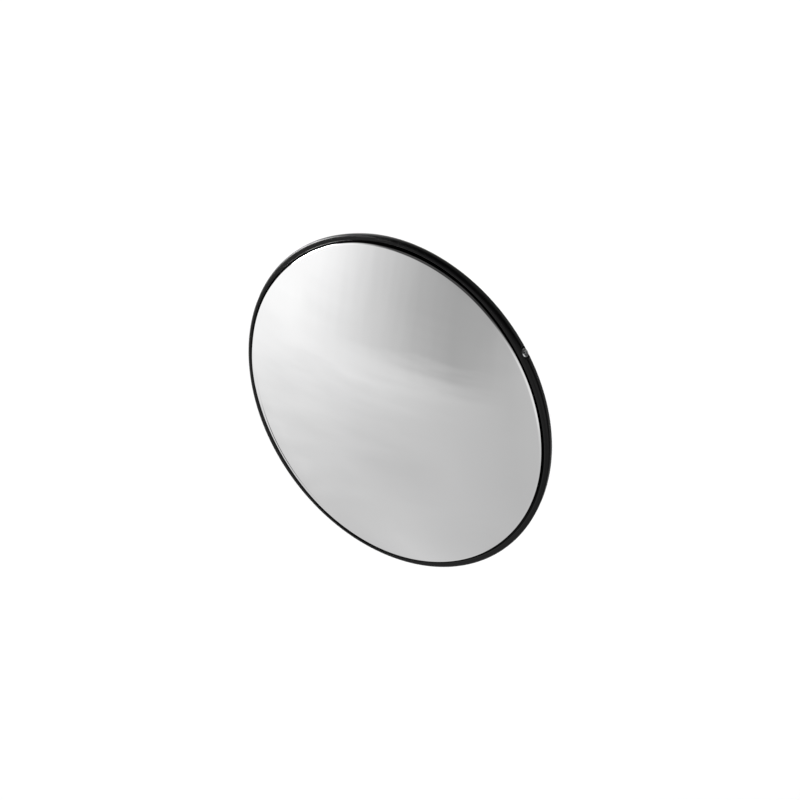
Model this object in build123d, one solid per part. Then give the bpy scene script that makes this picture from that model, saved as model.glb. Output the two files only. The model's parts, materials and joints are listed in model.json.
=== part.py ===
from build123d import *
import os
from math import sqrt

os.makedirs("parts", exist_ok=True)

# A round convex security mirror on a ball-joint wall bracket, in millimetres.
# Every piece is drawn about the mirror's axis, local +Z, with the wall at z = 0 and
# local +Y up.  On writing, that axis is laid along -Y, so that the wall is the plane
# Y = 0, the mirror faces -Y and +Z is up.  The mirror stands square to the wall.

# Clearances
turning_gap = 0.05  # radial, between pieces that turn on or in each other
bolt_gap = 0.2  # radial, round the shank of a screw in a plain hole
face_gap = 0.1  # axial, between faces that turn past each other
moulding_gap = 0.3  # between moulded or rubber pieces that are pushed together

# Edge trim: a rubber channel with a front lip, a web round the edge and a rear lip
rim_radius = 150.0
trim_web = 2.6
front_lip_thickness = 2.35
front_lip_width = 4.6
front_lip_face = 3.0  # full-radius part of the web, at the front
front_lip_round = 2.4
front_lip_inner_round = 1.2
rear_lip_thickness = 1.5
rear_lip_width = 7.0
rear_lip_bevel = 0.8
web_taper = 1.2  # how much smaller the web's radius is at the rear
trim_joint_gap = 0.3
trim_joint_angle = 54.5

# Mirror lens: a thin dome with a rolled edge, an upright wall and a flange
lens_thickness = 2.0
dome_radius = 450.0
lens_proud = 1.2  # how far the dome's corner stands in front of the trim's lip
lens_roll = 2.0
lens_wall_gap = 1.6  # between the lens's wall and the trim's lip

# Gasket between the lens's flange and the back shell
gasket_thickness = 0.5
gasket_width = 4.5

# Back shell: a ribbed dish with a flat land at the edge and a well for the hub
land_thickness = 2.4
land_width = 11.0
shell_wall = 2.4
dish_depth = 2.9  # how much further from the wall the dish lies at the well than at the land
hub_wall = 3.0
well_radius = 44.0
well_wall = 2.6
hub_hole_radius = 14.5
rib_setback = 0.6  # from the rear of the trim to the ribs' edges and the mouth of the well
rib_width = 2.0
rib_count = 12
ring_rib_radius = 92.0

# Rim screws, which hold the trim to bosses on the back shell
rim_screw_count = 3
rim_screw_angle = 34.5
rim_screw_inset = 4.2  # from the rear edge of the trim to the screw's axis
rim_screw_length = 9.5
rim_screw_radius = 1.45
rim_head_radius = 3.75
rim_head_height = 1.5
rim_head_bevel = 0.9
screw_seat_depth = 1.5
boss_width = 11.0
boss_end = 2.0  # plastic left beyond the screw's end

# Hub, which carries the back shell on the ball stud
hub_plate_radius = 36.0
hub_plate_thickness = 3.0
hub_plate_bevel = 1.0
hub_screw_circle = 27.0
hub_screw_count = 3
hub_screw_angle = 90.0
hub_screw_length = 12.0
hub_screw_radius = 2.0
hub_head_radius = 4.0
hub_head_height = 2.7
hub_head_bevel = 1.3
hub_washer_radius = 4.5
hub_washer_thickness = 0.8
hub_nut_flats = 7.0
hub_nut_thickness = 3.2

# Cross recess of the rim screws and the hub screws
recess_width = 1.0
recess_length = 3.8
recess_depth = 1.1

# Ball stud
ball_radius = 12.5
neck_radius = 5.0
neck_bevel = 2.0
shoulder_radius = 9.0
shoulder_thickness = 3.0
stud_radius = 5.0
stud_end = 1.2  # thread that shows past the nut
friction_washer_radius = 12.0
friction_washer_thickness = 1.5
disc_spring_radius = 11.0
disc_spring_thickness = 0.9
disc_spring_cone = 0.9
stud_nut_flats = 17.0
stud_nut_thickness = 8.0

# Ball socket, friction seat and clamp collar, measured from the ball's centre
seat_gap = 1.1  # between the ball's equator and the wall of the seat's pocket
seat_floor = 2.4  # from the back of the ball to the floor of the cup
seat_lip = 0.8  # flat rim in front of the seat's cone
socket_wall = 3.4
socket_front = 2.5  # how far the cup reaches in front of the ball's equator
socket_floor = 2.2
socket_neck_flats = 23.0
socket_neck_length = 14.0
socket_shoulder = 6.0  # taper from the neck to the cup
collar_wall = 4.0
collar_rear = 9.0  # how far the collar reaches behind the ball's equator
collar_mouth_radius = 10.8
collar_lip = 3.2
collar_bevel = 1.0
flute_count = 12
flute_radius = 4.0
flute_depth = 1.3

# Arm, between the wall plate and the socket
arm_radius = 8.0
arm_head_radius = 12.5
arm_head_thickness = 4.0
arm_washer_radius = 14.5
arm_washer_thickness = 1.5
arm_nut_flats = 24.0
arm_nut_thickness = 8.0
lock_nut_thickness = 6.0

# Wall plate: a dished sheet-metal disc
plate_radius = 40.0
plate_sheet = 2.5
dish_height = 9.0  # of the hollow behind the plate
dish_top_radius = 18.0
dish_foot_radius = 25.0
wall_hole_radius = 2.75
wall_hole_circle = 32.5
wall_hole_count = 4
plate_bevel = 1.0
plate_bend = 3.0

# Stations along the axis, from the wall outward
ball_centre = 75.0
hub_reach = 23.0  # from the ball's centre to the hub plate
rim_reach = 16.25  # from the ball's centre to the rear of the trim
hub_rear = ball_centre + hub_reach
hub_front = hub_rear + hub_plate_thickness
rim_rear = ball_centre + rim_reach
land_rear = rim_rear + rear_lip_thickness
land_front = land_rear + land_thickness
rib_rear = rim_rear + rib_setback
dish_rear = land_rear + dish_depth
flange_rear = land_front + gasket_thickness
flange_front = flange_rear + lens_thickness
lip_front = flange_front + front_lip_thickness
rim_screw_station = rim_rear + rim_screw_inset
hub_land_front = hub_front + hub_wall
plate_front = dish_height + plate_sheet
cup_floor = ball_centre - ball_radius - seat_floor
socket_rear = cup_floor - socket_floor - socket_neck_length

# Radii that follow from the pieces above
channel_radius = rim_radius - trim_web
land_radius = channel_radius - moulding_gap
land_inner_radius = land_radius - land_width
lip_inner_radius = rim_radius - front_lip_width
lens_wall_radius = lip_inner_radius - lens_wall_gap
ball_seat_radius = ball_radius + turning_gap
seat_radius = ball_radius + seat_gap
socket_radius = seat_radius + turning_gap + socket_wall
collar_bore_radius = socket_radius + turning_gap
collar_radius = collar_bore_radius + collar_wall


def corner_of(section, place):
    """The corner of a flat section that lies nearest to a place."""
    return section.vertices().sort_by_distance((*place, 0))[0]


def rounded(section, place, radius):
    """A flat section with the corner near a place rounded."""
    return fillet(corner_of(section, place), radius)


def bevelled(section, place, length):
    """A flat section with the corner near a place cut off."""
    return chamfer(corner_of(section, place), length)


def revolved(section):
    """The flat section (radius, station) turned about the axis."""
    return revolve(Plane.XZ * section, Axis.Z)


def turned(*points):
    """The closed outline through the points (radius, station), turned about the axis."""
    return revolved(make_face(Polyline(*points, close=True)))


def washer(rear, thickness, bore, radius):
    """A flat washer on the axis."""
    return turned((bore, rear), (radius, rear), (radius, rear + thickness), (bore, rear + thickness))


def hex_nut(rear, flats, thickness, bore):
    """A hexagon nut on the axis, with the corners of both faces turned off."""
    corner = flats / sqrt(3)
    turned_off = (corner - flats / 2) / sqrt(3)
    blank = extrude(Pos(0, 0, rear) * RegularPolygon(flats / 2, 6, major_radius=False), thickness)
    envelope = turned(
        (bore, rear),
        (flats / 2, rear),
        (corner, rear + turned_off),
        (corner, rear + thickness - turned_off),
        (flats / 2, rear + thickness),
        (bore, rear + thickness),
    )
    return blank & envelope


def pan_screw(radius, length, head_radius, head_height, bevel):
    """A pan-head screw with a cross recess: its head stands on z = 0, its shank points to -z."""
    body = turned(
        (0, -length),
        (radius, -length),
        (radius, 0),
        (head_radius, 0),
        (head_radius, head_height - bevel),
        (head_radius - bevel, head_height),
        (0, head_height),
    )
    slot = Box(recess_length, recess_width, 2 * recess_depth)
    cross = slot + Rot(0, 0, 90) * slot
    return body - Pos(0, 0, head_height) * cross


def around(piece, radius, count, start):
    """Copies of a piece at equal angles round the axis."""
    return [place * piece for place in PolarLocations(radius, count, start)]


def rim_screw_places():
    """The seats of the rim screws, whose local +z points outward from the mirror's axis."""
    seat = rim_radius - screw_seat_depth
    outward = Pos(seat, 0, rim_screw_station) * Rot(0, 90, 0)
    return around(outward, 0, rim_screw_count, rim_screw_angle)


def mirror_lens():
    """The dome, its rolled edge, the wall that stands through the trim and the flange."""
    corner_station = lip_front + lens_proud
    centre = corner_station - sqrt(dome_radius**2 - lens_wall_radius**2)
    inner_dome = dome_radius - lens_thickness
    inner_wall = lens_wall_radius - lens_thickness
    inner_corner = centre + sqrt(inner_dome**2 - inner_wall**2)
    outer_arc = RadiusArc((lens_wall_radius, corner_station), (0, centre + dome_radius), -dome_radius)
    inner_arc = RadiusArc((0, centre + inner_dome), (inner_wall, inner_corner), inner_dome)
    section = make_face(
        [
            Line((inner_wall, flange_rear), (land_radius, flange_rear)),
            Line((land_radius, flange_rear), (land_radius, flange_front)),
            Line((land_radius, flange_front), (lens_wall_radius, flange_front)),
            Line((lens_wall_radius, flange_front), (lens_wall_radius, corner_station)),
            outer_arc,
            Line((0, centre + dome_radius), (0, centre + inner_dome)),
            inner_arc,
            Line((inner_wall, inner_corner), (inner_wall, flange_rear)),
        ]
    )
    section = rounded(section, (lens_wall_radius, corner_station), lens_roll)
    return revolved(section) - boss_notches(flange_front)


def lens_gasket():
    """The cushion ring under the lens's flange, cut away at the screw bosses."""
    ring = washer(land_front, gasket_thickness, land_radius - gasket_width, land_radius)
    return ring - boss_notches(flange_rear)


def boss_notches(front):
    """The gaps that the flange and the gasket leave for the screw bosses."""
    height = front - land_front
    reach = land_radius - land_inner_radius
    gap = Box(2 * reach, boss_width + 2 * moulding_gap, height)
    return around(Pos(land_radius, 0, land_front + height / 2) * gap, 0, rim_screw_count, rim_screw_angle)


def edge_trim():
    """The rubber channel, with its seats for the screw heads and its butt joint."""
    rear_radius = rim_radius - web_taper
    rear_lip_radius = rim_radius - rear_lip_width
    section = make_face(
        Polyline(
            (rear_radius, rim_rear),
            (rim_radius, lip_front - front_lip_face),
            (rim_radius, lip_front),
            (lip_inner_radius, lip_front),
            (lip_inner_radius, flange_front),
            (channel_radius, flange_front),
            (channel_radius, land_rear),
            (rear_lip_radius, land_rear),
            (rear_lip_radius, rim_rear),
            close=True,
        )
    )
    section = rounded(section, (rim_radius, lip_front), front_lip_round)
    section = rounded(section, (lip_inner_radius, lip_front), front_lip_inner_round)
    section = bevelled(section, (rear_radius, rim_rear), rear_lip_bevel)
    hole = Cylinder(rim_screw_radius + bolt_gap, 4 * trim_web)
    seat = Pos(0, 0, trim_web / 2) * Cylinder(rim_head_radius + bolt_gap, trim_web)
    openings = [place * (hole + seat) for place in rim_screw_places()]
    joint_cut = Box(4 * rear_lip_width, trim_joint_gap, 4 * (lip_front - rim_rear))
    joint = Rot(0, 0, trim_joint_angle) * Pos(rim_radius, 0, rim_rear) * joint_cut
    return revolved(section) - openings - joint


def back_shell():
    """The shallow dish with its edge land, hub land, well, ribs and screw bosses."""
    well_outer = well_radius + well_wall
    dish = turned(
        (land_inner_radius, land_rear),
        (land_radius, land_rear),
        (land_radius, land_front),
        (land_inner_radius, land_front),
        (well_outer, dish_rear + shell_wall),
        (well_outer, hub_land_front),
        (hub_hole_radius, hub_land_front),
        (hub_hole_radius, hub_front),
        (well_radius, hub_front),
        (well_radius, rib_rear),
        (well_outer, rib_rear),
        (well_outer, dish_rear),
    )
    shell = dish + shell_ribs() + screw_bosses()
    pilot = Cylinder(rim_screw_radius + turning_gap, 2 * rim_screw_length)
    pilots = [place * pilot for place in rim_screw_places()]
    hole = Pos(0, 0, hub_front) * Cylinder(hub_screw_radius + bolt_gap, 4 * hub_wall)
    return shell - pilots - hub_stack(hole)


def shell_ribs():
    """Radial ribs and a ring rib, level at the rear, that run into the dish."""
    half_wall = shell_wall / 2
    start = well_radius + well_wall / 2
    envelope = turned(
        (start, rib_rear),
        (land_inner_radius, rib_rear),
        (land_inner_radius, land_rear + half_wall),
        (start, dish_rear + half_wall),
    )
    depth = dish_rear + shell_wall - rib_rear
    middle = rib_rear + depth / 2
    length = land_inner_radius - start
    rib = Pos(start + length / 2, 0, middle) * Box(length, rib_width, depth)
    ring = washer(rib_rear, depth, ring_rib_radius - rib_width / 2, ring_rib_radius + rib_width / 2)
    return (ring + around(rib, 0, rib_count, 0)) & envelope


def screw_bosses():
    """The blocks at the shell's edge that the rim screws bite into."""
    screw_tip = rim_radius - screw_seat_depth - rim_screw_length
    inner = screw_tip - boss_end
    front = flange_front - moulding_gap
    length = rim_radius - inner
    height = front - land_rear
    block = Pos(inner + length / 2, 0, land_rear + height / 2) * Box(length, boss_width, height)
    blocks = around(block, 0, rim_screw_count, rim_screw_angle)
    disc = Pos(0, 0, land_rear + height / 2) * Cylinder(land_radius, height)
    return (Part() + blocks) & disc


def rim_screws():
    """The screws that hold the trim, pointing at the mirror's axis."""
    screw = pan_screw(rim_screw_radius, rim_screw_length, rim_head_radius, rim_head_height, rim_head_bevel)
    return [place * screw for place in rim_screw_places()]


def hub_plate():
    """The steel disc on the ball stud, with its screw holes."""
    bore = stud_radius + turning_gap
    plate = turned(
        (bore, hub_rear),
        (hub_plate_radius - hub_plate_bevel, hub_rear),
        (hub_plate_radius, hub_rear + hub_plate_bevel),
        (hub_plate_radius, hub_front),
        (bore, hub_front),
    )
    hole = Pos(0, 0, hub_rear) * Cylinder(hub_screw_radius + bolt_gap, 4 * hub_plate_thickness)
    return plate - hub_stack(hole)


def hub_stack(piece):
    """Copies of a piece at the hub's screws."""
    return around(piece, hub_screw_circle, hub_screw_count, hub_screw_angle)


def hub_screws():
    """The screws from behind, through the hub plate and the back shell."""
    screw = pan_screw(hub_screw_radius, hub_screw_length, hub_head_radius, hub_head_height, hub_head_bevel)
    return hub_stack(Pos(0, 0, hub_rear) * Rot(180, 0, 0) * screw)


def hub_washers():
    """The washers under the nuts of the hub's screws."""
    bore = hub_screw_radius + turning_gap
    return hub_stack(washer(hub_land_front, hub_washer_thickness, bore, hub_washer_radius))


def hub_nuts():
    """The nuts of the hub's screws, inside the back shell."""
    rear = hub_land_front + hub_washer_thickness
    return hub_stack(hex_nut(rear, hub_nut_flats, hub_nut_thickness, hub_screw_radius + turning_gap))


def friction_stack():
    """Stations of the pieces on the stud in front of the hub plate."""
    spring_rear = hub_front + friction_washer_thickness
    nut_rear = spring_rear + disc_spring_thickness + disc_spring_cone
    return spring_rear, nut_rear, nut_rear + stud_nut_thickness


def ball_stud():
    """The ball, its neck, the shoulder behind the hub plate and the threaded shank."""
    shoulder_rear = hub_rear - shoulder_thickness
    shank_front = friction_stack()[2] + stud_end
    neck_station = ball_centre + sqrt(ball_radius**2 - neck_radius**2)
    rear = (0, ball_centre - ball_radius)
    equator = (ball_radius, ball_centre)
    section = make_face(
        [
            ThreePointArc(rear, equator, (neck_radius, neck_station)),
            Polyline(
                (neck_radius, neck_station),
                (neck_radius, shoulder_rear),
                (shoulder_radius, shoulder_rear),
                (shoulder_radius, hub_rear),
                (stud_radius, hub_rear),
                (stud_radius, shank_front),
                (0, shank_front),
                rear,
            ),
        ]
    )
    return revolved(bevelled(section, (neck_radius, shoulder_rear), neck_bevel))


def friction_washer():
    """The nylon washer that the mirror turns against."""
    bore = stud_radius + turning_gap
    return washer(hub_front, friction_washer_thickness, bore, friction_washer_radius)


def disc_spring():
    """The coned spring washer under the stud's nut."""
    rear = friction_stack()[0]
    bore = stud_radius + turning_gap
    return turned(
        (disc_spring_radius, rear),
        (disc_spring_radius, rear + disc_spring_thickness),
        (bore, rear + disc_spring_thickness + disc_spring_cone),
        (bore, rear + disc_spring_cone),
    )


def stud_nut():
    """The nut that closes the stack on the stud."""
    return hex_nut(friction_stack()[1], stud_nut_flats, stud_nut_thickness, stud_radius + turning_gap)


def ball_space():
    """The sphere that the ball needs, with its gap."""
    return Pos(0, 0, ball_centre) * Sphere(ball_seat_radius)


def friction_seat():
    """The nylon ring behind the ball, which rests in its 45-degree cone."""
    cone_apex = ball_centre - ball_seat_radius * sqrt(2)
    inner = cup_floor - cone_apex + seat_floor / 2
    outer = seat_radius - seat_lip
    return turned(
        (inner, cup_floor),
        (seat_radius, cup_floor),
        (seat_radius, cone_apex + outer),
        (outer, cone_apex + outer),
        (inner, cone_apex + inner),
    )


def ball_socket():
    """The cup for the ball, on a hexagon neck that is bored for the arm."""
    bore = arm_radius + turning_gap
    pocket = seat_radius + turning_gap
    neck_front = cup_floor - socket_floor
    cup_front = ball_centre + socket_front
    corner = socket_neck_flats / sqrt(3)
    turned_off = (corner - socket_neck_flats / 2) / sqrt(3)
    cup = turned(
        (0, neck_front),
        (corner, neck_front),
        (socket_radius, neck_front + socket_shoulder),
        (socket_radius, cup_front),
        (pocket, cup_front),
        (pocket, cup_floor),
        (0, cup_floor),
    )
    hexagon = RegularPolygon(socket_neck_flats / 2, 6, major_radius=False)
    neck = extrude(Pos(0, 0, socket_rear) * hexagon, socket_neck_length)
    envelope = turned(
        (bore, socket_rear),
        (socket_neck_flats / 2, socket_rear),
        (corner, socket_rear + turned_off),
        (corner, neck_front),
        (bore, neck_front),
    )
    return (neck & envelope) + cup


def clamp_collar():
    """The fluted ring nut whose lip holds the ball in its cup."""
    rear = ball_centre - collar_rear
    lip_rear = ball_centre + socket_front + face_gap
    mouth = ball_centre + sqrt(ball_seat_radius**2 - collar_mouth_radius**2)
    front = mouth + collar_lip
    section = make_face(
        Polyline(
            (collar_bore_radius, rear),
            (collar_radius, rear),
            (collar_radius, front),
            (collar_mouth_radius + collar_lip, front),
            (collar_mouth_radius, mouth),
            (collar_mouth_radius, lip_rear),
            (collar_bore_radius, lip_rear),
            close=True,
        )
    )
    section = bevelled(section, (collar_radius, front), collar_bevel)
    section = bevelled(section, (collar_radius, rear), collar_bevel)
    height = front - rear
    flute = Pos(0, 0, rear + height / 2) * Cylinder(flute_radius, 2 * height)
    flutes = around(flute, collar_radius + flute_radius - flute_depth, flute_count, 0)
    return revolved(section) - ball_space() - flutes


def arm_stem():
    """The round arm, from its head inside the wall plate to the socket."""
    head_rear = dish_height - arm_head_thickness
    front = cup_floor - socket_floor - face_gap
    return turned(
        (0, head_rear),
        (arm_head_radius, head_rear),
        (arm_head_radius, dish_height),
        (arm_radius, dish_height),
        (arm_radius, front),
        (0, front),
    )


def arm_washer():
    """The washer in front of the wall plate."""
    return washer(plate_front, arm_washer_thickness, arm_radius + turning_gap, arm_washer_radius)


def arm_nut():
    """The nut that holds the arm to the wall plate."""
    rear = plate_front + arm_washer_thickness
    return hex_nut(rear, arm_nut_flats, arm_nut_thickness, arm_radius + turning_gap)


def socket_lock_nut():
    """The nut that locks the socket on the arm."""
    rear = socket_rear - face_gap - lock_nut_thickness
    return hex_nut(rear, arm_nut_flats, lock_nut_thickness, arm_radius + turning_gap)


def wall_plate():
    """The dished plate, with its screw holes and the hole for the arm."""
    bore = arm_radius + turning_gap
    section = make_face(
        Polyline(
            (bore, dish_height),
            (dish_top_radius - plate_sheet, dish_height),
            (dish_foot_radius - plate_sheet, 0),
            (plate_radius, 0),
            (plate_radius, plate_sheet),
            (dish_foot_radius, plate_sheet),
            (dish_top_radius, plate_front),
            (bore, plate_front),
            close=True,
        )
    )
    section = rounded(section, (dish_top_radius, plate_front), plate_bend)
    section = bevelled(section, (plate_radius, plate_sheet), plate_bevel)
    hole = Cylinder(wall_hole_radius, 4 * plate_sheet)
    return revolved(section) - around(hole, wall_hole_circle, wall_hole_count, 45)


def write(name, pieces):
    """Turns a node's solids into place and writes them to one file."""
    solids = pieces if isinstance(pieces, list) else [pieces]
    solids = [solid for piece in solids for solid in piece.solids()]
    export_step(Rot(90, 0, 0) * Compound(solids), f"parts/{name}.step")


nodes = [
    mirror_lens,
    lens_gasket,
    edge_trim,
    back_shell,
    rim_screws,
    hub_plate,
    hub_screws,
    hub_washers,
    hub_nuts,
    ball_stud,
    friction_washer,
    disc_spring,
    stud_nut,
    friction_seat,
    ball_socket,
    clamp_collar,
    arm_stem,
    arm_washer,
    arm_nut,
    socket_lock_nut,
    wall_plate,
]

for node in nodes:
    write(node.__name__, node())
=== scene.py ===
import json
from math import asin, cos, degrees, pi, radians, sin, sqrt

import bmesh
import bpy
from mathutils import Matrix, Vector


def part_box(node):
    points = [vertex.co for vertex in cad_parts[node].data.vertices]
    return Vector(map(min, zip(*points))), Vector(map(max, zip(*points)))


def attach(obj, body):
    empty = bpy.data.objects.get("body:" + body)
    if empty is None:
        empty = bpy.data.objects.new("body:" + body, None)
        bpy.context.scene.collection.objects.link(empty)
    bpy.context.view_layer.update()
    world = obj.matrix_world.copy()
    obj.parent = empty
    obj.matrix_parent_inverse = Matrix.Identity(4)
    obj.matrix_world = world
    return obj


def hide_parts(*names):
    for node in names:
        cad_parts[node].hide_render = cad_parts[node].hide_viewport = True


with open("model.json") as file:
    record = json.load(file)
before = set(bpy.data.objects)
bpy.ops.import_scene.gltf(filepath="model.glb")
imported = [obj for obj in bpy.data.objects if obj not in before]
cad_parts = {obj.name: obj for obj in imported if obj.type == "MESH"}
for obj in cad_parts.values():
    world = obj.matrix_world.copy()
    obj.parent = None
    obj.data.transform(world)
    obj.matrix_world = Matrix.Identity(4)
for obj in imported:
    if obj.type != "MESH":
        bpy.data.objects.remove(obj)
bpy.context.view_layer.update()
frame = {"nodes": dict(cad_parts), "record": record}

# The mirror's axis runs through the origin along -Y.  A point of a turned piece is given by its
# radius from that axis and its station, the distance in front of the wall (-Y), in metres.
MM = 0.001

# The trim's section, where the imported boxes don't give it
LIP_WIDTH = 4.6 * MM  # of the front lip, from the rim inward
LIP_THICKNESS = 2.35 * MM
LIP_ROUND = 2.4 * MM
LIP_INNER_ROUND = 1.2 * MM
LIP_WAVE = 0.7 * MM  # how far the soft lip's inner edge wanders, four times round
LIP_WAVE_ANGLE = 77  # degrees, where that edge is farthest out
REAR_LIP_WIDTH = 7.0 * MM
REAR_LIP_THICKNESS = 1.5 * MM
WEB_THICKNESS = 2.6 * MM
WEB_TAPER = 1.2 * MM
WEB_FACE = 3.0 * MM  # full-radius part of the web, at the front
WEB_CROWN = 0.12 * MM  # how far the web's outside bulges
TRIM_ROUND = 0.7 * MM  # of the web's rear corner and the rear lip's edge
JOINT_ANGLE = 54.5  # degrees, where the trim's ends meet
JOINT_GAP = 0.15 * MM

# The screws: each pan screw's head radius, head height, shank radius and shank length
HEAD_RADIUS = 3.75 * MM
RIM_SCREW = (HEAD_RADIUS, 1.5 * MM, 1.45 * MM, 9.5 * MM)
HUB_SCREW = (4.0 * MM, 2.7 * MM, 2.0 * MM, 12.0 * MM)
RIM_SCREW_ANGLES = (34.5, 154.5, 274.5)
RIM_SCREW_INSET = 4.2 * MM  # from the rear of the trim
RIM_SCREW_SPIN = 37  # degrees from each cross recess to the next one's
SCREW_SEAT = 1.5 * MM  # how deep the rim screws' heads sit in the trim
SEAT_SLOPE = 1.8 * MM  # width of the rubber's slope round them
HUB_SCREW_CIRCLE = 27.0 * MM
HUB_SCREW_SPIN = (25, 50)  # of the first cross recess, and from each to the next one's

# The lens
DOME_RADIUS = 450 * MM
LENS_THICKNESS = 2.0 * MM
LENS_WALL_GAP = 1.6 * MM  # between the lens's wall and the trim's lip
# The lens's rolled edge from the dome outward: each arc's radius, and in degrees from the axis
# the way that the skin faces at the arc's end
LENS_ROLL = ((2.5 * MM, 34), (12.0 * MM, 38), (0.9 * MM, 90))
# A dark line painted into the silver inside the roll, as painted shade for a dark band in the reflection:
# its radius, the half widths of the whole line and of its darkest part, and how dark it is by angle, in
# degrees counted from -180
PAINTED_LINE_RADIUS = 138.4 * MM
PAINTED_LINE_HALF_WIDTHS = (0.85 * MM, 0.5 * MM)
PAINTED_LINE_DARKNESS = ((0, 0), (14, 0.1), (26, 1.0), (40, 1.0), (50, 0.2), (62, 0), (360, 0))
# Where the lens's edge was formed a little small (or, below 0, large): the middle and half width
# of each stretch in degrees, and its depth
EDGE_DIPS = (
    (-10, 30, -0.55 * MM), (60, 28, -0.6 * MM), (128, 26, 0.65 * MM), (168, 28, -0.85 * MM),
    (182, 14, -0.65 * MM), (214, 28, 1.5 * MM), (268, 30, -0.75 * MM), (350, 30, -0.55 * MM),
)

# The bracket
ARM_RADIUS = 8.0 * MM
ARM_PITCH = 2.0 * MM  # of its thread
ARM_HEAD_ROUND = 0.6 * MM
CENTRE_MARK = 1.4 * MM  # radius and depth of the lathe's mark in the arm's head
PLATE_SHEET = 2.5 * MM
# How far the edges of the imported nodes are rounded
EDGE_ROUND = {
    "back_shell": 0.45 * MM, "wall_plate": 0.5 * MM, "ball_socket": 0.4 * MM, "clamp_collar": 0.4 * MM,
    "hub_plate": 0.35 * MM, "arm_nut": 0.25 * MM, "socket_lock_nut": 0.25 * MM, "arm_washer": 0.2 * MM,
    "stud_nut": 0.2 * MM, "ball_stud": 0.25 * MM, "hub_nuts": 0.12 * MM, "hub_washers": 0.1 * MM,
    "friction_washer": 0.15 * MM, "disc_spring": 0.12 * MM, "friction_seat": 0.15 * MM,
}

trim_low, trim_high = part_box("edge_trim")
lens_low, lens_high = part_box("mirror_lens")
rim_radius = trim_high.x
rim_rear = -trim_high.y
lip_front = -trim_low.y


# --- meshes -----------------------------------------------------------------------------


def place(radius, station, angle):
    """A point of the part's frame from its radius, station and angle (from +X towards +Z)."""
    return Vector((radius * cos(angle), -station, radius * sin(angle)))


def arc(centre, radius, start, end, steps):
    """Points of an arc in the (radius, station) plane, with its angles in degrees."""
    turns = [radians(start + (end - start) * i / steps) for i in range(steps + 1)]
    return [(centre[0] + radius * cos(t), centre[1] + radius * sin(t)) for t in turns]


def new_piece(name, points, faces, sharp=35):
    """A smooth-shaded mesh object with its edges kept sharp beyond an angle."""
    mesh = bpy.data.meshes.new(name)
    mesh.from_pydata(points, [], faces)
    work = bmesh.new()
    work.from_mesh(mesh)
    bmesh.ops.remove_doubles(work, verts=work.verts, dist=1e-7)
    bmesh.ops.recalc_face_normals(work, faces=work.faces)
    work.to_mesh(mesh)
    work.free()
    mesh.shade_smooth()
    mesh.set_sharp_from_angle(angle=radians(sharp))
    piece = bpy.data.objects.new(name, mesh)
    bpy.context.scene.collection.objects.link(piece)
    return piece


def swept(name, section, angles, closed=True):
    """A closed section of (radius, station), given by angle, swept round the axis."""
    points = [place(r, s, angle) for angle in angles for r, s in section(angle)]
    rings = len(angles)
    count = len(points) // rings
    faces = []
    for ring in range(rings if closed else rings - 1):
        here, there = ring * count, (ring + 1) % rings * count
        for i in range(count):
            j = (i + 1) % count
            faces.append((here + i, here + j, there + j, there + i))
    if not closed:
        faces.append(tuple(reversed(range(count))))
        faces.append(tuple((rings - 1) * count + i for i in range(count)))
    return new_piece(name, points, faces)


def full_turn(steps):
    """Evenly spaced angles of a whole turn."""
    return [2 * pi * i / steps for i in range(steps)]


def smoothstep(low, high, value):
    """0 below low, 1 above high and a smooth rise between."""
    t = min(1, max(0, (value - low) / (high - low)))
    return t * t * (3 - 2 * t)


# --- shader graphs ----------------------------------------------------------------------


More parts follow.
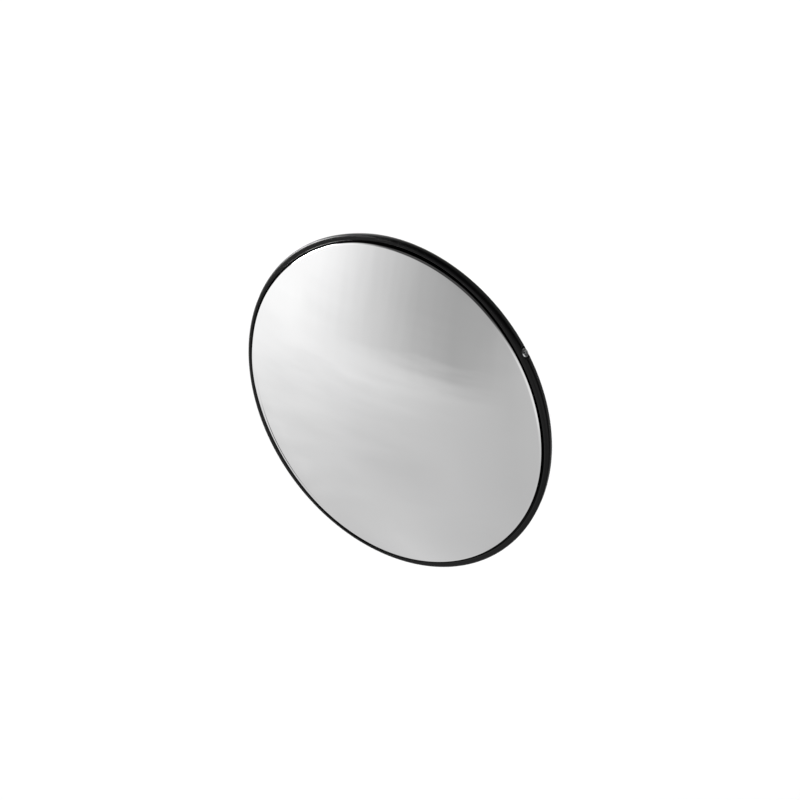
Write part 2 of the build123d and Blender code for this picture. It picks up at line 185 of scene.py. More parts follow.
class Graph:
    """Shader nodes of one material or world, added and linked by short calls."""

    def __init__(self, tree):
        self.tree = tree
        tree.nodes.clear()

    def node(self, kind, **settings):
        made = self.tree.nodes.new("ShaderNode" + kind)
        for name, value in settings.items():
            setattr(made, name, value)
        return made

    def feed(self, socket, value):
        if isinstance(value, bpy.types.NodeSocket):
            self.tree.links.new(value, socket)
        else:
            socket.default_value = value

    def math(self, operation, *values):
        made = self.node("Math", operation=operation)
        for socket, value in zip(made.inputs, values):
            self.feed(socket, value)
        return made.outputs[0]

    def span(self, value, low, high, to_low=0.0, to_high=1.0, smooth=True):
        """The value's place between low and high, as a number from to_low to to_high."""
        kind = "SMOOTHSTEP" if smooth else "LINEAR"
        made = self.node("MapRange", interpolation_type=kind)
        for socket, number in zip(made.inputs, (value, low, high, to_low, to_high)):
            self.feed(socket, number)
        return made.outputs[0]

    def ramp(self, value, *stops, spread="EASE"):
        """A grey or coloured ramp: each stop is a position and a grey level or a colour."""
        made = self.node("ValToRGB")
        ramp = made.color_ramp
        ramp.interpolation = spread
        while len(ramp.elements) < len(stops):
            ramp.elements.new(0.5)
        for element, (position, level) in zip(ramp.elements, stops):
            element.position = position
            element.color = (*level, 1) if isinstance(level, tuple) else (level, level, level, 1)
        self.feed(made.inputs[0], value)
        return made.outputs[0]

    def mix(self, factor, first, second):
        """A mix of two colours."""
        made = self.node("Mix", data_type="RGBA")
        colours = [socket for socket in made.inputs if socket.type == "RGBA"]
        self.feed(made.inputs[0], factor)
        self.feed(colours[0], first)
        self.feed(colours[1], second)
        return next(socket for socket in made.outputs if socket.type == "RGBA")

    def noise(self, vector, scale, detail=2.0, roughness=0.5):
        made = self.node("TexNoise")
        settings = {"Vector": vector, "Scale": scale, "Detail": detail, "Roughness": roughness}
        for name, value in settings.items():
            self.feed(made.inputs[name], value)
        return made.outputs[0]

    def cells(self, vector, scale):
        made = self.node("TexVoronoi")
        self.feed(made.inputs["Vector"], vector)
        self.feed(made.inputs["Scale"], scale)
        return made

    def place(self):
        """The place on the piece, in metres in the part's frame."""
        return self.node("TexCoord").outputs["Object"]

    def split(self, vector):
        made = self.node("SeparateXYZ")
        self.feed(made.inputs[0], vector)
        return made.outputs

    def join(self, x, y, z):
        made = self.node("CombineXYZ")
        for socket, value in zip(made.inputs, (x, y, z)):
            self.feed(socket, value)
        return made.outputs[0]

    def stretch(self, values, factors):
        """A vector of three values, each multiplied by its factor."""
        return self.join(*(self.math("MULTIPLY", *pair) for pair in zip(values, factors)))

    def radius(self, x, z):
        """The distance from the mirror's axis."""
        return self.math("SQRT", self.math("ADD", *(self.math("MULTIPLY", v, v) for v in (x, z))))

    def round_place(self, along, across):
        """Coordinates that run slowly round the mirror's axis and quickly across it."""
        x, y, z = self.split(self.place())
        radius = self.radius(x, z)
        turned_x = self.math("MULTIPLY", self.math("DIVIDE", x, radius), along)
        turned_z = self.math("MULTIPLY", self.math("DIVIDE", z, radius), along)
        depth = self.math("MULTIPLY", self.math("ADD", y, radius), across)
        return self.join(turned_x, depth, turned_z)

    def bump(self, height, distance, normal=None):
        made = self.node("Bump")
        self.feed(made.inputs["Distance"], distance)
        self.feed(made.inputs["Height"], height)
        if normal is not None:
            self.feed(made.inputs["Normal"], normal)
        return made.outputs[0]


def new_material(name, **sockets):
    """A material with a Principled shader, the sockets' values set on the shader itself."""
    material = bpy.data.materials.new(name)
    material.use_nodes = True
    graph = Graph(material.node_tree)
    shader = graph.node("BsdfPrincipled")
    output = graph.node("OutputMaterial")
    graph.feed(output.inputs[0], shader.outputs[0])
    for socket, value in sockets.items():
        shader.inputs[socket.replace("_", " ").title().replace("Ior", "IOR")].default_value = value
    return material, graph, shader.inputs


# --- materials --------------------------------------------------------------------------


def silvered_acrylic():
    """Acrylic silvered behind: a clear reflection with faint waves, creases, haze and specks.

    Painted shade: a dark line in the silver near the edge, and black on the lens's wall, in the gap by
    the lip.
    """
    material, graph, shader = new_material("silvered_acrylic", metallic=1.0)
    where = graph.place()
    x, y, z = graph.split(where)
    tint = graph.noise(where, 9, 3)
    clean = graph.ramp(tint, (0.3, (0.858, 0.858, 0.862)), (0.7, (0.872, 0.872, 0.872)))
    cell = graph.cells(where, 55)
    speck_size = graph.math("MULTIPLY", cell.outputs["Color"], 0.035)
    speck_reach = graph.math("SUBTRACT", speck_size, 0.022)
    speck = graph.math("LESS_THAN", cell.outputs["Distance"], speck_reach)
    silver = graph.mix(graph.math("MULTIPLY", speck, 0.5), clean, (0.35, 0.35, 0.36, 1))
    # painted shade: a dark line in the silver, where the roll's reflection turns dark
    from_painted_line = graph.math("ABSOLUTE", graph.math("SUBTRACT", graph.radius(x, z), PAINTED_LINE_RADIUS))
    ring = graph.span(from_painted_line, *PAINTED_LINE_HALF_WIDTHS)
    share = graph.span(graph.math("ARCTAN2", z, x), -pi, pi, smooth=False)
    stops = [(angle / 360, dark) for angle, dark in PAINTED_LINE_DARKNESS]
    painted_line_shade = graph.math("MULTIPLY", ring, graph.ramp(share, *stops, spread="LINEAR"))
    silver = graph.mix(painted_line_shade, silver, (0.03, 0.03, 0.03, 1))
    # painted shade: the silver turns black on the lens's wall, for the shade in the gap by the trim's lip
    shaded_wall = graph.span(graph.math("ADD", y, lip_front), -0.1 * MM, 0.7 * MM)
    graph.feed(shader["Base Color"], graph.mix(shaded_wall, silver, (0.01, 0.01, 0.01, 1)))
    haze = graph.noise(where, 30, 4)
    graph.feed(shader["Roughness"], graph.span(haze, 0.3, 0.75, 0.03, 0.06))
    waves = graph.bump(graph.noise(where, 14, 1), 0.00004)
    upright = graph.noise(graph.stretch((x, y, z), (70, 0, 14)), 1.0, 1)
    creases = graph.math("MULTIPLY", upright, graph.span(z, 10 * MM, 90 * MM))
    graph.feed(shader["Normal"], graph.bump(creases, 0.0001, waves))
    return material


def black_rubber():
    """Satin extruded rubber, with fine lines along the extrusion and a little dust."""
    material, graph, shader = new_material("black_rubber", specular_ior_level=0.25)
    lines = graph.noise(graph.round_place(1.2, 1800), 1.0, 2)
    cloud = graph.noise(graph.place(), 45, 4)
    dust = graph.span(cloud, 0.5, 0.8)
    colour = graph.mix(dust, (0.0006, 0.0006, 0.0007, 1), (0.0016, 0.0016, 0.0017, 1))
    graph.feed(shader["Base Color"], colour)
    graph.feed(shader["Roughness"], graph.span(cloud, 0.3, 0.7, 0.30, 0.34))
    grain = graph.noise(graph.place(), 2200, 2)
    normal = graph.bump(lines, 0.00001)
    graph.feed(shader["Normal"], graph.bump(grain, 0.000008, normal))
    return material


def black_plastic():
    """Moulded ABS with a fine spark-eroded grain."""
    material, graph, shader = new_material("black_plastic", specular_ior_level=0.5)
    where = graph.place()
    flow = graph.noise(where, 18, 3)
    colour = graph.mix(graph.span(flow, 0.3, 0.7), (0.012, 0.012, 0.013, 1), (0.02, 0.02, 0.021, 1))
    graph.feed(shader["Base Color"], colour)
    graph.feed(shader["Roughness"], graph.span(flow, 0.3, 0.7, 0.42, 0.52))
    grain = graph.noise(where, 1500, 3, 0.6)
    graph.feed(shader["Normal"], graph.bump(grain, 0.00006))
    return material


def black_paint():
    """Powder coat on steel: an orange-peel skin."""
    material, graph, shader = new_material("black_paint", specular_ior_level=0.5)
    where = graph.place()
    cloud = graph.noise(where, 30, 3)
    colour = graph.mix(graph.span(cloud, 0.3, 0.7), (0.010, 0.010, 0.011, 1), (0.017, 0.017, 0.018, 1))
    graph.feed(shader["Base Color"], colour)
    graph.feed(shader["Roughness"], graph.span(cloud, 0.3, 0.7, 0.28, 0.38))
    peel = graph.noise(where, 900, 2)
    graph.feed(shader["Normal"], graph.bump(peel, 0.00008))
    return material


def zinc_steel():
    """Bright zinc plating, with a cool cast that shifts a little and faint brushing."""
    material, graph, shader = new_material("zinc_steel", metallic=1.0)
    where = graph.place()
    cloud = graph.noise(where, 120, 3)
    bluish, clear, yellowish = (0.66, 0.68, 0.71), (0.76, 0.77, 0.78), (0.74, 0.72, 0.66)
    graph.feed(shader["Base Color"], graph.ramp(cloud, (0.3, bluish), (0.55, clear), (0.8, yellowish)))
    brushing = graph.noise(graph.round_place(40, 3000), 1.0, 2)
    graph.feed(shader["Roughness"], graph.span(brushing, 0.3, 0.7, 0.20, 0.34))
    graph.feed(shader["Normal"], graph.bump(brushing, 0.00001))
    return material


def nylon():
    """Natural nylon, a little yellow and waxy."""
    material, graph, shader = new_material("nylon", subsurface_weight=0.2, subsurface_scale=0.002)
    cloud = graph.noise(graph.place(), 200, 3)
    graph.feed(shader["Base Color"], graph.mix(cloud, (0.80, 0.78, 0.72, 1), (0.86, 0.85, 0.80, 1)))
    graph.feed(shader["Roughness"], graph.span(cloud, 0.3, 0.7, 0.38, 0.5))
    graph.feed(shader["Normal"], graph.bump(cloud, 0.00003))
    return material


def foam_rubber():
    """Closed-cell foam tape, with its cells as small pits, each painted darker towards its middle as
    shade.
    """
    material, graph, shader = new_material("foam_rubber")
    pits_and_shade = graph.cells(graph.place(), 2500).outputs["Distance"]
    # painted shade: the pits are darker in their middles
    graph.feed(shader["Base Color"], graph.mix(pits_and_shade, (0.015, 0.015, 0.015, 1), (0.05, 0.05, 0.05, 1)))
    graph.feed(shader["Roughness"], graph.span(pits_and_shade, 0.0, 0.8, 0.75, 0.95))
    graph.feed(shader["Normal"], graph.bump(pits_and_shade, 0.00008))
    return material


makers = (silvered_acrylic, black_rubber, black_plastic, black_paint, zinc_steel, nylon, foam_rubber)
materials = {make.__name__: make() for make in makers}


def finish_piece(piece, slot, body, *replaced):
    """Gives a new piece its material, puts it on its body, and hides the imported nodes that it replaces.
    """
    piece.data.materials.clear()
    piece.data.materials.append(materials[slot])
    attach(piece, body)
    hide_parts(*replaced)


def paint_nodes():
    """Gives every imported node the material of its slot."""
    for subpart in frame["record"]["subparts"]:
        node = frame["nodes"][subpart["node"]]
        node.data.materials.clear()
        node.data.materials.append(materials[subpart["material_slot"]])


# --- the mirror's front -----------------------------------------------------------------


def lens_wall(angle):
    """The radius of the lens's wall, which varies a little where its edge was formed unevenly."""
    wall = rim_radius - LIP_WIDTH - LENS_WALL_GAP
    for middle, half_width, depth in EDGE_DIPS:
        wall -= depth * (1 - smoothstep(0, half_width, abs(degrees(angle) - middle)))
    return wall


def rolled_edge(wall, centre):
    """The dome's arc and those of its rolled edge, as far as the wall."""
    arcs = [(radius, radians(facing)) for radius, facing in LENS_ROLL]
    across, along = wall - arcs[-1][0], 0.0
    centres = [(across, along)]
    for (radius, facing), (after, _) in reversed(list(zip(arcs, arcs[1:]))):
        across -= (radius - after) * sin(facing)
        along -= (radius - after) * cos(facing)
        centres.insert(0, (across, along))
    first = DOME_RADIUS - arcs[0][0]
    across, along = centres[0]
    rise = centre + sqrt(first**2 - across**2) - along
    start = asin(across / first)
    points = arc((0, centre), DOME_RADIUS, 90, 90 - degrees(start), 60)
    for (across, along), (radius, facing) in zip(centres, arcs):
        points += arc((across, along + rise), radius, 90 - degrees(start), 90 - degrees(facing), 10)[1:]
        start = facing
    return points


def lens_outline(angle):
    """The dome, its rolled edge, its wall and the flange behind, as a closed outline."""
    wall = lens_wall(angle)
    rear = -lens_high.y
    flange = lens_high.x
    centre = -lens_low.y - DOME_RADIUS
    skirt = [(wall, rear + LENS_THICKNESS), (flange, rear + LENS_THICKNESS), (flange, rear)]
    inner_wall = wall - LENS_THICKNESS
    inner_dome = DOME_RADIUS - LENS_THICKNESS
    inner_rim = inner_wall - LENS_THICKNESS
    rim_station = centre + sqrt(inner_dome**2 - inner_rim**2)
    inner_start = 90 - degrees(asin(inner_rim / inner_dome))
    inside = [(inner_wall, rear), (inner_wall, rim_station - LENS_THICKNESS)]
    return rolled_edge(wall, centre) + skirt + inside + arc((0, centre), inner_dome, inner_start, 90, 60)


def mirror_dome():
    """The silvered dome with its rolled edge."""
    piece = swept("mirror_dome", lens_outline, full_turn(360))
    finish_piece(piece, "silvered_acrylic", "head", "mirror_lens")


def trim_outline(angle):
    """The channel's section: a rounded front lip, the web and the rear lip."""
    edge = TRIM_ROUND
    inner = rim_radius - LIP_WIDTH + LIP_WAVE * cos(4 * (angle - radians(LIP_WAVE_ANGLE)))
    channel = rim_radius - WEB_THICKNESS
    rear_inner = rim_radius - REAR_LIP_WIDTH
    rear_outer = rim_radius - WEB_TAPER
    web_rear, web_front = rim_rear + edge, lip_front - WEB_FACE
    outline = arc((rear_outer - edge, web_rear), edge, -90, 0, 6)
    web_steps = 8
    for step in range(1, web_steps + 1):
        share = step / web_steps
        bulge = WEB_CROWN * sin(pi * share)
        outline += [(rear_outer + WEB_TAPER * share + bulge, web_rear + (web_front - web_rear) * share)]
    outline += arc((rim_radius - LIP_ROUND, lip_front - LIP_ROUND), LIP_ROUND, 0, 90, 16)
    outline += arc((inner + LIP_INNER_ROUND, lip_front - LIP_INNER_ROUND), LIP_INNER_ROUND, 90, 180, 12)
    outline += [(inner, lip_front - LIP_THICKNESS), (channel, lip_front - LIP_THICKNESS)]
    outline += [(channel, rim_rear + REAR_LIP_THICKNESS), (rear_inner, rim_rear + REAR_LIP_THICKNESS)]
    outline += arc((rear_inner + edge / 2, rim_rear + edge / 2), edge / 2, 180, 270, 5)
    return [dented(r, s, angle) for r, s in outline]


def trim_angles():
    """Angles round the trim from one side of its joint to the other, closer at the screws."""
    half_gap = degrees(JOINT_GAP / 2 / rim_radius)
    ends = [JOINT_ANGLE + half_gap + step * 0.02 for step in range(4)]
    ends += [JOINT_ANGLE + 360 - half_gap - step * 0.02 for step in range(4)]
    coarse = [JOINT_ANGLE + 1 + step for step in range(359)]
    fine = [angle + step * 0.125 for angle in RIM_SCREW_ANGLES for step in range(-28, 29)]
    fine = [angle if angle > JOINT_ANGLE else angle + 360 for angle in fine]
    return [radians(angle) for angle in sorted({round(a, 4) for a in ends + coarse + fine})]


def dented(radius, station, angle):
    """The trim's outside, pressed in to the seats of the screw heads."""
    depth = radius - (rim_radius - SCREW_SEAT)
    if depth <= 0 or station > lip_front - LIP_ROUND / 3:
        return radius, station
    dent = 0
    for screw in RIM_SCREW_ANGLES:
        turn = (angle - radians(screw) + pi) % (2 * pi) - pi
        reach = sqrt((turn * rim_radius) ** 2 + (station - rim_rear - RIM_SCREW_INSET) ** 2)
        dent = max(dent, 1 - smoothstep(HEAD_RADIUS, HEAD_RADIUS + SEAT_SLOPE, reach))
    return radius - depth * dent, station


def trim_ring():
    """The rubber channel, with its butt joint."""
    piece = swept("trim_ring", trim_outline, trim_angles(), closed=False)
    finish_piece(piece, "black_rubber", "head", "edge_trim")


# --- screws -----------------------------------------------------------------------------


def recess_depth(x, y):
    """How deep a cross recess is at a place on a screw's head."""
    half_width, reach, deepest = 0.6 * MM, 1.95 * MM, 1.1 * MM
    side_slope, end_slope = 8, 2
    depths = [
        min(side_slope * (half_width - abs(across)), end_slope * (reach - abs(along)))
        for along, across in ((x, y), (y, x))
    ]
    return min(deepest, max(0, *depths))


def pan_screw(name, head_radius, head_height, shank_radius, shank):
    """A pan-head screw with a cross recess, its head standing on z = 0."""
    rings, around = 70, 144
    edge_crowding = 1.35  # brings the rings closer together towards the head's edge
    flatness = 2.6  # of the head's crown, where 2 is an ellipse
    side = 0.25 * head_height
    points, faces = [], []

    def ring_of(radius, height):
        turns = [2 * pi * step / around for step in range(around)]
        return [(radius * cos(turn), radius * sin(turn), height) for turn in turns]

    for ring in range(rings + 1):
        radius = head_radius * (1 - (1 - ring / rings) ** edge_crowding)
        crown = side + (head_height - side) * sqrt(1 - min(1, radius / head_radius) ** flatness)
        points += [(x, y, z - recess_depth(x, y)) for x, y, z in ring_of(radius, crown)]
    for radius, height in ((head_radius, 0), (shank_radius, 0), (shank_radius, -shank), (0, -shank)):
        points += ring_of(radius, height)
    for ring in range(rings + 4):
        for step in range(around):
            after = (step + 1) % around
            here, there = ring * around, (ring + 1) * around
            faces.append((here + step, there + step, there + after, here + after))
    return new_piece(name, points, faces, sharp=40)


def rim_screws():
    """The screws through the side of the trim."""
    for number, angle in enumerate(RIM_SCREW_ANGLES, 1):
        piece = pan_screw(f"rim_screw_{number}", *RIM_SCREW)
        seat = place(rim_radius - SCREW_SEAT, rim_rear + RIM_SCREW_INSET, radians(angle))
        turn = Matrix.Rotation(radians(-angle), 4, "Y") @ Matrix.Rotation(pi / 2, 4, "Y")
        spin = Matrix.Rotation(radians(RIM_SCREW_SPIN * number), 4, "Z")
        piece.data.transform(Matrix.Translation(seat) @ turn @ spin)
        finish_piece(piece, "zinc_steel", "head", "rim_screws")


def hub_screws():
    """The screws that hold the back shell to the hub plate, their heads towards the wall."""
    hub_rear = -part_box("hub_plate")[1].y
    first_spin, next_spin = HUB_SCREW_SPIN
    for number in range(3):
        piece = pan_screw(f"hub_screw_{number + 1}", *HUB_SCREW)
        seat = place(HUB_SCREW_CIRCLE, hub_rear, radians(90 + 120 * number))
        spin = Matrix.Rotation(radians(first_spin + next_spin * number), 4, "Z")
        turn = Matrix.Rotation(-pi / 2, 4, "X")
        piece.data.transform(Matrix.Translation(seat) @ turn @ spin)
        finish_piece(piece, "zinc_steel", "head", "hub_screws")


# --- bracket ----------------------------------------------------------------------------


def thread_depth(share):
    """The depth of a thread at a share of its pitch, as a share of its full depth."""
    crest, root = 1 / 8, 1 / 4
    flank = (1 - crest - root) / 2
    away = abs((share % 1) - 0.5)
    return min(1, max(0, (away - crest / 2) / flank))


def threaded_rod(name, radius, pitch, start, end):
    """A rod along the mirror's axis with a helical thread, bevelled at both ends."""
    around, per_pitch = 72, 14
    full_depth = 0.6 * pitch  # of a metric thread
    count = round((end - start) / pitch * per_pitch)
    points = []
    for step in range(count + 1):
        station = start + (end - start) * step / count
        bevel = max(0, full_depth - min(station - start, end - station))
        for part in range(around):
            turn = part / around
            depth = max(bevel, full_depth * thread_depth(station / pitch + turn))
            points.append(place(radius - depth, station, 2 * pi * turn))
    faces = []
    for step in range(count):
        for part in range(around):
            after = (part + 1) % around
            here, there = step * around, (step + 1) * around
            faces.append((here + part, here + after, there + after, there + part))
    faces.append(tuple(range(around)))
    faces.append(tuple(reversed(range(count * around, (count + 1) * around))))
    return new_piece(name, points, faces, sharp=25)


def arm():
    """The threaded arm, with its round head inside the wall plate."""
    low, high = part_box("arm_stem")
    head_radius, rear, front = high.x, -high.y, -low.y
    shoulder = -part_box("wall_plate")[0].y - PLATE_SHEET
    edge = ARM_HEAD_ROUND
    head = arc((head_radius - edge, rear + edge), edge, -90, 0, 5)
    head += arc((head_radius - edge, shoulder - edge), edge, 0, 90, 5) + [(0, shoulder)]
    head += [(0, rear + CENTRE_MARK), (CENTRE_MARK, rear)]
    disc = swept("arm_head", lambda angle: head, full_turn(96))
    rod = threaded_rod("arm_thread", ARM_RADIUS, ARM_PITCH, shoulder - edge, front)
    finish_piece(disc, "zinc_steel", "wall_mount", "arm_stem")
    finish_piece(rod, "zinc_steel", "wall_mount", "arm_stem")


def smooth_shading():
    """A node group that shades a mesh smooth, for a modifier."""
    tree = bpy.data.node_groups.new("smooth_shading", "GeometryNodeTree")
    tree.interface.new_socket("Geometry", in_out="INPUT", socket_type="NodeSocketGeometry")
    tree.interface.new_socket("Geometry", in_out="OUTPUT", socket_type="NodeSocketGeometry")
    start, end = tree.nodes.new("NodeGroupInput"), tree.nodes.new("NodeGroupOutput")
    shade = tree.nodes.new("GeometryNodeSetShadeSmooth")
    tree.links.new(start.outputs[0], shade.inputs["Geometry"])
    tree.links.new(shade.outputs[0], end.inputs[0])
    return tree


def soften(node, width, shading):
    """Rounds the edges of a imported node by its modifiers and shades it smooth."""
    weld = node.modifiers.new("join", "WELD")
    weld.merge_threshold = 0.002 * MM
    flat = node.modifiers.new("merge_flats", "DECIMATE")
    flat.decimate_type = "DISSOLVE"
    flat.angle_limit = radians(0.6)
    smooth = node.modifiers.new("smooth", "NODES")
    smooth.node_group = shading
    bevel = node.modifiers.new("round_edges", "BEVEL")
    bevel.width = width
    bevel.segments = 3
    bevel.limit_method = "ANGLE"
    bevel.angle_limit = radians(30)
    bevel.use_clamp_overlap = True
    normals = node.modifiers.new("normals", "WEIGHTED_NORMAL")
    normals.weight = 100


def soften_nodes():
    """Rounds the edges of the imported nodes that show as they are."""
    shading = smooth_shading()
    for name, width in EDGE_ROUND.items():
        soften(frame["nodes"][name], width, shading)


# --- stage ------------------------------------------------------------------------------


# The room that shiny surfaces show: at falling heights (the sine of the elevation), pairs of an
# azimuth in degrees and a level, between the same dark corners behind the mirror
ROOM_BEHIND_LEFT = ((-180, 0.35), (-165, 0.35), (-150, 0.28))
ROOM_BEHIND_RIGHT = ((108, 0.18), (125, 0.06), (156, 0.05), (174, 0.35), (180, 0.35))
ROOM = (
    (0.0, (
        (-136, 1.0), (-110, 1.1), (-51, 1.11), (-45, 1.02), (-33, 0.71), (-21, 0.49), (-12, 0.42),
        (-3, 0.43), (4, 0.5), (34, 0.8), (55, 0.9), (90, 0.95),
    )),
    (-0.2, (
        (-136, 1.0), (-110, 1.1), (-63, 1.12), (-57, 1.11), (-45, 0.925), (-33, 0.71), (-21, 0.53),
        (-11, 0.43), (-3, 0.475), (34, 0.8), (55, 0.9), (90, 0.95),
    )),
    (-0.33, (
        (-130, 0.9), (-97, 1.05), (-75, 1.05), (-57, 1.0), (-39, 0.88), (-21, 0.705), (-9, 0.6),
        (3, 0.53), (34, 0.68), (90, 0.75),
    )),
    (-0.445, (
        (-125, 0.88), (-97, 0.95), (-75, 0.945), (-57, 0.86), (-45, 0.8), (-33, 0.71), (-15, 0.61),
        (3, 0.545), (37, 0.6), (90, 0.6),
    )),
    (-0.635, (
        (-125, 0.74), (-117, 0.8), (-95, 0.73), (-81, 0.72), (-75, 0.765), (-51, 0.7), (-39, 0.625),
        (-27, 0.595), (-15, 0.605), (3, 0.54), (37, 0.57), (90, 0.56),
    )),
    (-0.76, (
        (-122, 0.66), (-81, 0.65), (-57, 0.65), (-39, 0.65), (-15, 0.595), (3, 0.547), (37, 0.58),
        (90, 0.56),
    )),
    (-0.85, (
        (-113, 0.72), (-90, 0.64), (-75, 0.6), (-63, 0.66), (-51, 0.685), (-33, 0.62), (-9, 0.555),
        (3, 0.55), (37, 0.58), (90, 0.56),
    )),
)
# How high the walls start to darken towards the ceiling, by azimuth, and over what height
CEILING_START = (
    (-180, 0.0), (-150, 0.0), (-136, 0.42), (-67, 0.4), (-51, 0.32), (-34, 0.26), (-21, 0.12), (-9, 0.03),
    (5, 0.05), (25, 0.12), (60, 0.14), (110, 0.2), (150, 0.0), (180, 0.0),
)
CEILING_REACH = 0.42
# How bright the ceiling itself is, by azimuth
CEILING_LEVEL = (
    (-180, 0.02), (-150, 0.02), (-120, 0.07), (-40, 0.07), (0, 0.045), (60, 0.05), (140, 0.02),
    (180, 0.02),
)
WISP_REACH = 0.08  # how far the room's layers waver up and down
# Windows and lamps: strength, azimuth, height, and the reach and soft edge in both
ROOM_LAMPS = (
    (0.8, 78, 0.2, (12, 0.2), (14, 0.22)),
    (40.0, -83, 0.28, (7, 0.1), (7, 0.12)),
    (1.5, -134, -0.2, (8, 0.12), (8, 0.14)),
    (0.32, 168, 0.66, (10, 0.1), (12, 0.1)),
)

# The lamps that light the pieces: name, where the light comes from, and strength
SUNS = (
    ("key", Vector((-0.55, -0.45, 1.0)), 1.5),
    ("fill", Vector((0.9, -0.5, 0.7)), 0.8),
    ("back", Vector((0.3, 0.9, 0.8)), 0.7),
)
SUN_SPREAD = 50  # degrees
SKY_LIGHT = 0.35  # on matt surfaces, from everywhere

FLOOR_GREY = 0.9
FLOOR_HEIGHT = -0.85
FLOOR_REACH = 12.0
FLOOR_SEEN = 1.03  # how bright the camera sees it, just over white

# The camera: its direction in degrees and its distance from the middle of the trim's front, which
# is taken a little behind the lip, and where it points, to the right of that middle and above it
CAMERA_AZIMUTH = 34.51
CAMERA_ELEVATION = 29.19
CAMERA_DISTANCE = 1.1952
FRONT_INSET = 0.6 * MM
CAMERA_AIM = (10.96 * MM, 10.71 * MM)
FOCAL_LENGTH = 65.0
SENSOR_WIDTH = 36


def at(azimuth):
    """An azimuth's place on a ramp over the whole turn, from -180 to 180 degrees."""
    return azimuth / 360 + 0.5


def patch(graph, turn, z, azimuth, height, reach, soft):
    """1 round a direction, falling to 0 beyond a reach in azimuth (degrees) and in height."""
    aside = graph.math("ABSOLUTE", graph.math("SUBTRACT", turn, radians(azimuth)))
    above = graph.math("ABSOLUTE", graph.math("SUBTRACT", z, height))
    across = graph.span(aside, radians(reach[0] + soft[0]), radians(reach[0]))
    upright = graph.span(above, reach[1] + soft[1], reach[1])
    return graph.math("MULTIPLY", across, upright)


def room_light(graph):
    """How bright the room is by direction: pale walls, a greyer floor, a dark ceiling, lamps."""
    x, y, z = graph.split(graph.node("TexCoord").outputs["Generated"])
    turn = graph.math("ARCTAN2", x, graph.math("MULTIPLY", y, -1))
    share = graph.span(turn, -pi, pi, smooth=False)

    def round_the_room(stops):
        return graph.ramp(share, *[(at(azimuth), level) for azimuth, level in stops], spread="LINEAR")

    wisps = graph.noise(graph.stretch((x, y, z), (3, 3, 20)), 1.0, 3)
    bent = graph.math("ADD", z, graph.span(wisps, 0.0, 1.0, -WISP_REACH, WISP_REACH, smooth=False))
    layers = []
    for height, stops in ROOM:
        layers.append((height, round_the_room(ROOM_BEHIND_LEFT + stops + ROOM_BEHIND_RIGHT)))
    room = layers[0][1]
    for (above, _), (below, layer) in zip(layers, layers[1:]):
        room = graph.mix(graph.span(bent, above, below, smooth=False), room, layer)
    start = round_the_room(CEILING_START)
    rise = graph.span(graph.math("SUBTRACT", z, start), 0.0, CEILING_REACH)
    level = graph.math("MULTIPLY", room, graph.math("SUBTRACT", 1.0, rise))
    cloud = graph.span(graph.noise(graph.join(x, y, z), 2.2, 2), 0.3, 0.7, 0.4, 1.6)
    level = graph.math("MAXIMUM", level, graph.math("MULTIPLY", round_the_room(CEILING_LEVEL), cloud))
    for strength, azimuth, height, reach, soft in ROOM_LAMPS:
        lamp = graph.math("MULTIPLY", patch(graph, turn, z, azimuth, height, reach, soft), strength)
        level = graph.math("MAXIMUM", level, lamp)
    return level


def studio_world():
    """White for the camera; the room for reflections; soft even light for matt surfaces."""
    world = bpy.data.worlds.new("studio")
    bpy.context.scene.world = world
    world.use_nodes = True
    graph = Graph(world.node_tree)

    def white_light(strength):
        made = graph.node("Background")
        graph.feed(made.inputs[0], (1, 1, 1, 1))
        graph.feed(made.inputs[1], strength)
        return made.outputs[0]

    def either(share, first, second):
        made = graph.node("MixShader")
        for socket, value in zip(made.inputs, (share, first, second)):
            graph.feed(socket, value)
        return made.outputs[0]

    path = graph.node("LightPath").outputs
    shiny = graph.math("MAXIMUM", path["Is Glossy Ray"], path["Is Transmission Ray"])
    light = either(shiny, white_light(SKY_LIGHT), white_light(room_light(graph)))
    light = either(path["Is Camera Ray"], light, white_light(1.0))
    graph.feed(graph.node("OutputWorld").inputs[0], light)


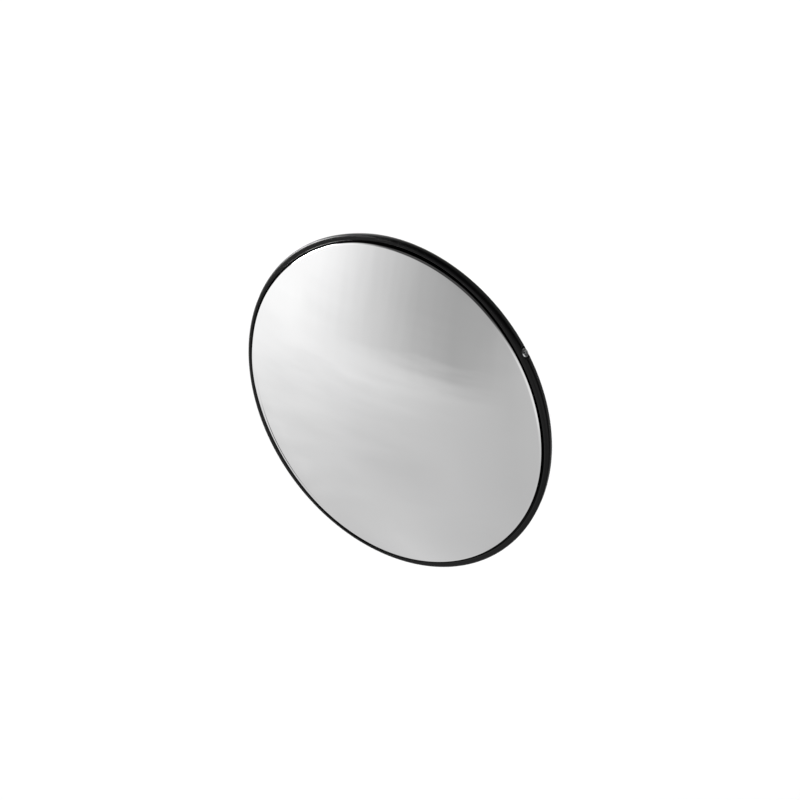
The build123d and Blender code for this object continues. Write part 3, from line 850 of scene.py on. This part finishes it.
def floor():
    """A wide pale floor well below the mirror, lifted to white where the camera sees it."""
    sides = ((-1, -1), (1, -1), (1, 1), (-1, 1))
    corners = [(x * FLOOR_REACH, y * FLOOR_REACH, FLOOR_HEIGHT) for x, y in sides]
    mesh = bpy.data.meshes.new("floor")
    mesh.from_pydata(corners, [], [(0, 1, 2, 3)])
    piece = bpy.data.objects.new("floor", mesh)
    bpy.context.scene.collection.objects.link(piece)
    piece.visible_glossy = False
    material = bpy.data.materials.new("floor")
    material.use_nodes = True
    graph = Graph(material.node_tree)
    matt = graph.node("BsdfDiffuse")
    graph.feed(matt.inputs[0], (FLOOR_GREY, FLOOR_GREY, FLOOR_GREY, 1))
    lift = graph.node("Emission")
    path = graph.node("LightPath").outputs
    seen = graph.math("MAXIMUM", path["Is Camera Ray"], path["Is Transmission Ray"])
    missing = FLOOR_SEEN - FLOOR_GREY * floor_light()
    graph.feed(lift.inputs[1], graph.math("MULTIPLY", seen, missing))
    both = graph.node("AddShader")
    graph.feed(both.inputs[0], matt.outputs[0])
    graph.feed(both.inputs[1], lift.outputs[0])
    graph.feed(graph.node("OutputMaterial").inputs[0], both.outputs[0])
    piece.data.materials.append(material)


def floor_light():
    """How bright the lamps and the sky make a white floor."""
    suns = sum(strength * source.normalized().z for _, source, strength in SUNS)
    return suns / pi + SKY_LIGHT


def lamps():
    """Wide soft suns: a key light from the left, a weaker one from the right, one from behind."""
    for name, source, strength in SUNS:
        data = bpy.data.lights.new(name, "SUN")
        data.energy = strength
        data.angle = radians(SUN_SPREAD)
        made = bpy.data.objects.new(name, data)
        made.rotation_euler = source.to_track_quat("Z", "Y").to_euler()
        made.visible_glossy = False
        bpy.context.scene.collection.objects.link(made)


def camera():
    """The camera, at the photograph's viewing angle."""
    azimuth, elevation = radians(CAMERA_AZIMUTH), radians(CAMERA_ELEVATION)
    back = Vector((sin(azimuth) * cos(elevation), -cos(azimuth) * cos(elevation), sin(elevation)))
    front = Vector((0, -(lip_front - FRONT_INSET), 0))
    data = bpy.data.cameras.new("camera")
    data.lens = FOCAL_LENGTH
    data.sensor_width = SENSOR_WIDTH
    made = bpy.data.objects.new("camera", data)
    made.location = front + back * CAMERA_DISTANCE
    right, above = CAMERA_AIM
    aim = front + Vector((right, 0, above))
    made.rotation_euler = (aim - made.location).to_track_quat("-Z", "Y").to_euler()
    bpy.context.scene.collection.objects.link(made)
    bpy.context.scene.camera = made


camera()
studio_world()
floor()
lamps()
paint_nodes()
mirror_dome()
trim_ring()
rim_screws()
hub_screws()
arm()
soften_nodes()

bpy.context.scene.view_settings.view_transform = "Standard"
